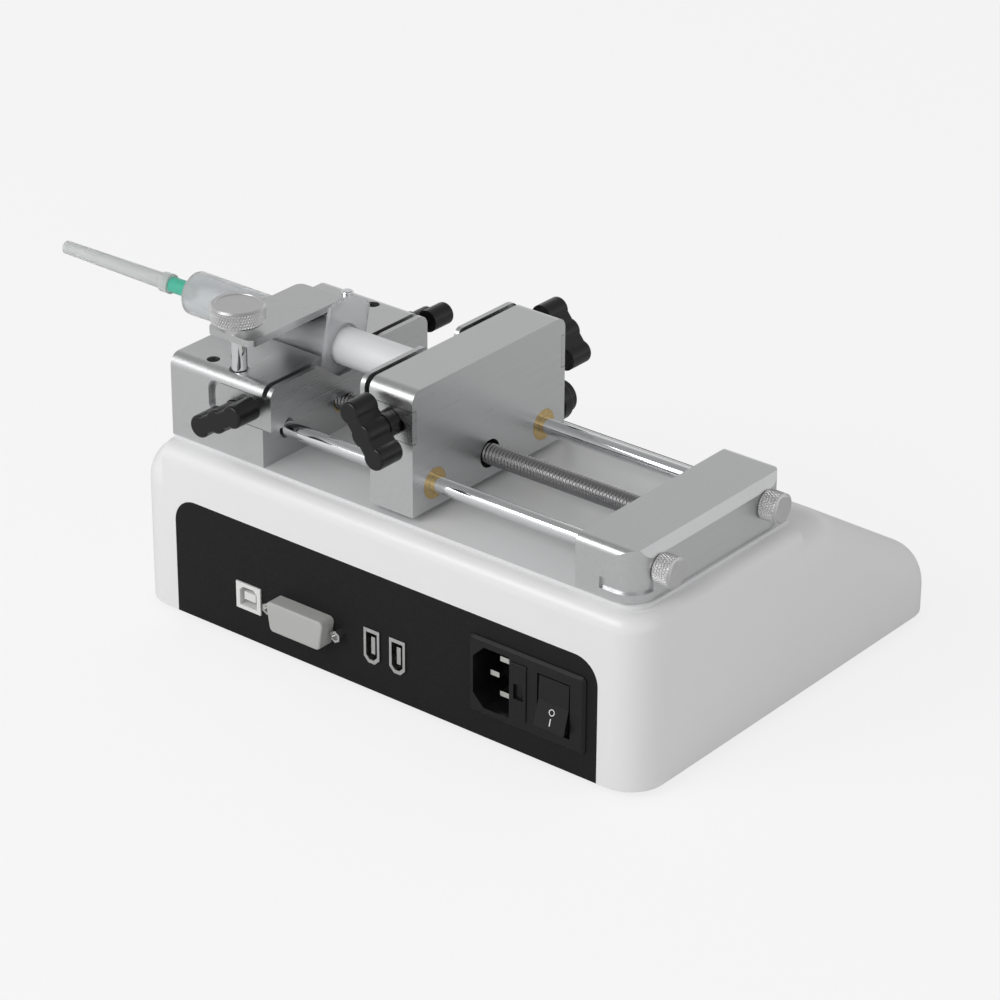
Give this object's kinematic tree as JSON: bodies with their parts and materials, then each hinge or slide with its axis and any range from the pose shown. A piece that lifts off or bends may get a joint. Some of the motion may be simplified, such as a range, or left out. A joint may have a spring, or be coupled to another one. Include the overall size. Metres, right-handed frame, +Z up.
{
  "type": "syringe pump",
  "caption": "Bench syringe pump: wedge case with a screw-driven carriage on guide rods pushing the plunger of a syringe clamped in a grooved block.",
  "frame": {"origin": "bottom centre of the whole object at rest, at the feet", "axes": "+X from the drive end to the needle, +Y towards the back panel, +Z up"},
  "size_m": [0.3212, 0.1954, 0.1312],
  "materials": {
    "case_white": "satin moulded",
    "panel_black": "fine matte",
    "port_black": "smooth moulded",
    "cover_grey": "moulded",
    "port_metal": "plated",
    "contact_metal": "plated",
    "deck_steel": "fine brushed",
    "block_metal": "brushed",
    "bracket_steel": "brushed",
    "knob_steel": "knurled",
    "rod_chrome": "polished",
    "screw_steel": "threaded",
    "bush_brass": "turned",
    "knob_black": "glossy moulded",
    "plunger_white": "smooth",
    "rubber_black": "moulded",
    "barrel_clear": "clear moulded plastic with printed ticks",
    "cap_clear": "frosted plastic",
    "hub_green": "smooth",
    "ruler_pale": "printed",
    "screen_glass": "polished",
    "board_green": "solder mask",
    "supply_steel": "plated sheet",
    "motor_black": "satin",
    "belt_black": "moulded"
  },
  "bodies": {
    "base": {"case_shell": "case_white", "base_plate": "panel_black", "feet": "rubber_black", "base_screws": "contact_metal", "rear_panel": "panel_black", "usb_port": "port_black", "data_connector": "port_metal", "jack_screws": "port_metal", "bus_ports": "port_black", "inlet_body": "port_black", "inlet_pins": "contact_metal", "touch_screen": "screen_glass", "display_module": "motor_black", "control_board": "board_green", "power_supply": "supply_steel", "stepper_motor": "motor_black", "motor_bracket": "supply_steel", "timing_belt": "belt_black", "deck_plate": "deck_steel", "scale_strip": "ruler_pale", "barrel_block": "block_metal", "stop_pin": "rod_chrome", "end_block": "block_metal", "bearing_plate": "block_metal", "screw_bearings": "bush_brass", "guide_rods": "rod_chrome", "syringe_barrel": "barrel_clear", "needle_hub": "hub_green", "needle": "rod_chrome"},
    "dust_cover": {"dust_cover": "cover_grey"},
    "fuse_drawer": {"fuse_drawer": "port_black", "fuse": "contact_metal"},
    "rocker": {"rocker_switch": "port_black"},
    "drive_screw": {"lead_screw": "screw_steel", "screw_pulley": "block_metal"},
    "motor_rotor": {"motor_shaft": "screw_steel", "motor_pulley": "block_metal"},
    "carriage": {"carriage_block": "block_metal", "guide_bushes": "bush_brass", "plunger": "plunger_white", "plunger_stopper": "rubber_black"},
    "release": {"release_button": "knob_black", "half_nut": "bush_brass"},
    "barrel_bracket": {"barrel_bracket": "bracket_steel"},
    "plunger_bracket": {"plunger_bracket": "bracket_steel"},
    "barrel_wing_back": {"barrel_wing_screw_back": "knob_black"},
    "barrel_wing_front": {"barrel_wing_screw_front": "knob_black"},
    "carriage_wing_back": {"carriage_wing_screw_back": "knob_black"},
    "carriage_wing_front": {"carriage_wing_screw_front": "knob_black"},
    "clamp_lift": {"clamp_post": "rod_chrome"},
    "clamp_swing": {"clamp_plate": "bracket_steel", "clamp_pad": "rubber_black", "clamp_knob": "knob_steel"},
    "end_knob_back": {"rod_end_knob_back": "knob_steel"},
    "end_knob_front": {"rod_end_knob_front": "knob_steel"},
    "needle_cap": {"needle_cap": "cap_clear"}
  },
  "joints": [
    {"name": "carriage_slide", "type": "slide", "parent": "base", "child": "carriage", "axis": [1, 0, 0], "range_m": [-0.032, 0.032]},
    {"name": "screw_spin", "type": "hinge", "parent": "base", "child": "drive_screw", "pos_m": [0, 0.0374, 0.084], "axis": [1, 0, 0], "continuous": true},
    {"name": "motor_spin", "type": "hinge", "parent": "base", "child": "motor_rotor", "pos_m": [0, 0.0374, 0.035], "axis": [1, 0, 0], "continuous": true},
    {"name": "barrel_bracket_slide", "type": "slide", "parent": "base", "child": "barrel_bracket", "axis": [1, 0, 0], "range_m": [-0.0045, 0]},
    {"name": "plunger_bracket_slide", "type": "slide", "parent": "carriage", "child": "plunger_bracket", "axis": [1, 0, 0], "range_m": [0, 0.0045]},
    {"name": "barrel_wing_back_turn", "type": "hinge", "parent": "base", "child": "barrel_wing_back", "pos_m": [0.026, 0.0814, 0.0943], "axis": [0, 1, 0], "range_deg": [0, 180]},
    {"name": "barrel_wing_front_turn", "type": "hinge", "parent": "base", "child": "barrel_wing_front", "pos_m": [0.026, -0.0066, 0.0943], "axis": [0, 1, 0], "range_deg": [0, 180]},
    {"name": "carriage_wing_back_turn", "type": "hinge", "parent": "carriage", "child": "carriage_wing_back", "pos_m": [-0.0431, 0.0814, 0.1097], "axis": [0, 1, 0], "range_deg": [0, 180]},
    {"name": "carriage_wing_front_turn", "type": "hinge", "parent": "carriage", "child": "carriage_wing_front", "pos_m": [-0.0431, -0.0066, 0.1097], "axis": [0, 1, 0], "range_deg": [0, 180]},
    {"name": "clamp_lift", "type": "slide", "parent": "base", "child": "clamp_lift", "axis": [0, 0, 1], "range_m": [0, 0.01]},
    {"name": "clamp_swing", "type": "hinge", "parent": "clamp_lift", "child": "clamp_swing", "pos_m": [0.0345, 0.0747, 0.11799], "axis": [0, 0, 1], "range_deg": [0, 90]},
    {"name": "end_knob_back_turn", "type": "hinge", "parent": "base", "child": "end_knob_back", "pos_m": [-0.153, 0.0684, 0.084], "axis": [1, 0, 0], "continuous": true},
    {"name": "end_knob_front_turn", "type": "hinge", "parent": "base", "child": "end_knob_front", "pos_m": [-0.153, 0.0064, 0.084], "axis": [1, 0, 0], "continuous": true},
    {"name": "release_push", "type": "slide", "parent": "carriage", "child": "release", "axis": [0, 1, 0], "range_m": [0, 0.003], "stiffness_N_per_m": 400, "springref_m": -0.003},
    {"name": "rocker_tilt", "type": "hinge", "parent": "base", "child": "rocker", "pos_m": [-0.124, 0.0864, 0.028], "axis": [1, 0, 0], "range_deg": [-18, 0]},
    {"name": "fuse_drawer_slide", "type": "slide", "parent": "base", "child": "fuse_drawer", "axis": [0, 1, 0], "range_m": [0, 0.014]},
    {"name": "needle_cap_slide", "type": "slide", "parent": "base", "child": "needle_cap", "axis": [1, 0, 0], "range_m": [0, 0.045]},
    {"name": "dust_cover_slide", "type": "slide", "parent": "base", "child": "dust_cover", "axis": [0, 1, 0], "range_m": [0, 0.008]}
  ],
  "couplings": [
    {"joint": "screw_spin", "follows": "carriage_slide", "rad_per_m": 4188.8},
    {"joint": "motor_spin", "follows": "carriage_slide", "rad_per_m": 4188.8}
  ]
}
